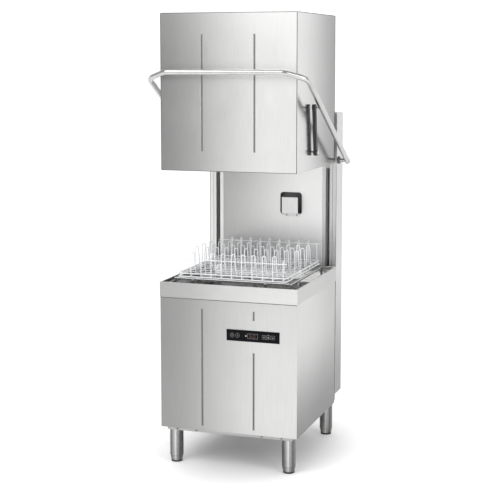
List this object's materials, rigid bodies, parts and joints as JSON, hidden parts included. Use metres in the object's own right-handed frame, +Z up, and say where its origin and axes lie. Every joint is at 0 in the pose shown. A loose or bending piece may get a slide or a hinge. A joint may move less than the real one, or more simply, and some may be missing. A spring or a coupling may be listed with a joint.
{
  "type": "commercial dishwasher",
  "caption": "Hood-type pass-through dishwasher: stainless body on legs, lifting box hood with tube handle, rear columns, spray arms and wire rack",
  "frame": {"origin": "on the floor under the middle of the machine's overall box", "axes": "+X to the right seen from the front, +Y to the back, +Z up; the front faces -Y"},
  "size_m": [0.727, 0.7926, 1.964],
  "materials": {
    "base_steel": "satin",
    "dark_screw": "satin",
    "steel_panel": "fine vertical brushing",
    "steel_tank": "satin",
    "bronze": "sintered",
    "spring_steel": "satin",
    "polished_tube": "polished",
    "black_link": "moulded",
    "white_plastic": "moulded",
    "element_steel": "heat tinted",
    "arm_steel": "satin",
    "grey_plastic": "moulded",
    "rack_coating": "dip coated",
    "panel_glass": "polished",
    "box_plastic": "moulded",
    "pump_paint": "enamel",
    "boiler_steel": "satin",
    "brass_valve": "machined",
    "hose_rubber": "ribbed",
    "leg_steel": "satin",
    "foot_steel": "satin"
  },
  "bodies": {
    "machine": {"base_frame": "base_steel", "base_screws": "dark_screw", "front_panel": "steel_panel", "side_panel_left": "steel_panel", "side_panel_right": "steel_panel", "rear_panel": "steel_panel", "back_panel": "steel_panel", "vent_cover": "steel_panel", "tank_rim": "steel_panel", "wash_tank": "steel_tank", "tank_filter": "steel_tank", "column_left": "steel_panel", "column_right": "steel_panel", "column_cap_left": "steel_panel", "column_cap_right": "steel_panel", "shaft_bearing_left": "bronze", "shaft_bearing_right": "bronze", "spring_left": "spring_steel", "spring_right": "spring_steel", "overflow_pipe": "white_plastic", "tank_heater": "element_steel", "lower_manifold": "grey_plastic", "upper_manifold": "arm_steel", "rack_support": "polished_tube", "control_panel": "panel_glass", "control_box": "box_plastic", "wash_pump": "pump_paint", "boiler": "boiler_steel", "drain_pump": "grey_plastic", "rinse_pump": "pump_paint", "detergent_pump": "box_plastic", "rinse_aid_pump": "box_plastic", "inlet_valve": "brass_valve", "delivery_pipe": "hose_rubber", "suction_hose": "hose_rubber", "leg_front_left": "leg_steel", "leg_front_right": "leg_steel", "leg_rear_left": "leg_steel", "leg_rear_right": "leg_steel"},
    "hood": {"hood_shell": "steel_panel", "hood_liner": "steel_tank", "hood_guide_left": "steel_tank", "hood_guide_right": "steel_tank"},
    "handle": {"handle_bar": "polished_tube", "handle_shaft": "polished_tube", "link_pin_left": "polished_tube", "link_pin_right": "polished_tube"},
    "left_link": {"link_left": "black_link", "link_stud_left": "polished_tube"},
    "right_link": {"link_right": "black_link", "link_stud_right": "polished_tube"},
    "lower_wash": {"lower_wash_arm": "arm_steel"},
    "lower_rinse": {"lower_rinse_arm": "arm_steel"},
    "upper_wash": {"upper_wash_arm": "arm_steel"},
    "upper_rinse": {"upper_rinse_arm": "arm_steel"},
    "dish_rack": {"rack": "rack_coating"},
    "front_left_foot": {"foot_front_left": "foot_steel"},
    "front_right_foot": {"foot_front_right": "foot_steel"},
    "rear_left_foot": {"foot_rear_left": "foot_steel"},
    "rear_right_foot": {"foot_rear_right": "foot_steel"}
  },
  "joints": [
    {"name": "hood_slide", "type": "slide", "parent": "machine", "child": "hood", "axis": [0, 0, 1], "range_m": [-0.495, 0], "deforming": ["spring_left", "spring_right"]},
    {"name": "handle_hinge", "type": "hinge", "parent": "machine", "child": "handle", "pos_m": [0, 0.3253, 1.306], "axis": [1, 0, 0], "range_deg": [0, 57.68]},
    {"name": "left_link_hinge", "type": "hinge", "parent": "handle", "child": "left_link", "pos_m": [-0.33, -0.1207, 1.5635], "axis": [1, 0, 0], "range_deg": [-54.64, 0]},
    {"name": "right_link_hinge", "type": "hinge", "parent": "handle", "child": "right_link", "pos_m": [0.33, -0.1207, 1.5635], "axis": [1, 0, 0], "range_deg": [-54.64, 0]},
    {"name": "lower_wash_spin", "type": "hinge", "parent": "machine", "child": "lower_wash", "pos_m": [0, -0.0217, 0.778], "axis": [0, 0, 1], "continuous": true},
    {"name": "lower_rinse_spin", "type": "hinge", "parent": "machine", "child": "lower_rinse", "pos_m": [0, -0.0217, 0.798], "axis": [0, 0, 1], "continuous": true},
    {"name": "upper_wash_spin", "type": "hinge", "parent": "machine", "child": "upper_wash", "pos_m": [0, -0.0217, 1.31], "axis": [0, 0, 1], "continuous": true},
    {"name": "upper_rinse_spin", "type": "hinge", "parent": "machine", "child": "upper_rinse", "pos_m": [0, -0.0217, 1.29], "axis": [0, 0, 1], "continuous": true},
    {"name": "rack_slide", "type": "slide", "parent": "machine", "child": "dish_rack", "axis": [1, 0, 0], "range_m": [0, 0.6]},
    {"name": "front_left_foot_screw", "type": "slide", "parent": "machine", "child": "front_left_foot", "axis": [0, 0, 1], "range_m": [0, 0.02]},
    {"name": "front_right_foot_screw", "type": "slide", "parent": "machine", "child": "front_right_foot", "axis": [0, 0, 1], "range_m": [0, 0.02]},
    {"name": "rear_left_foot_screw", "type": "slide", "parent": "machine", "child": "rear_left_foot", "axis": [0, 0, 1], "range_m": [0, 0.02]},
    {"name": "rear_right_foot_screw", "type": "slide", "parent": "machine", "child": "rear_right_foot", "axis": [0, 0, 1], "range_m": [0, 0.02]}
  ],
  "couplings": [
    {"joint": "handle_hinge", "follows": "hood_slide", "rad_per_m": -2.0331},
    {"joint": "left_link_hinge", "follows": "hood_slide", "rad_per_m": 1.926},
    {"joint": "right_link_hinge", "follows": "hood_slide", "rad_per_m": 1.926}
  ]
}
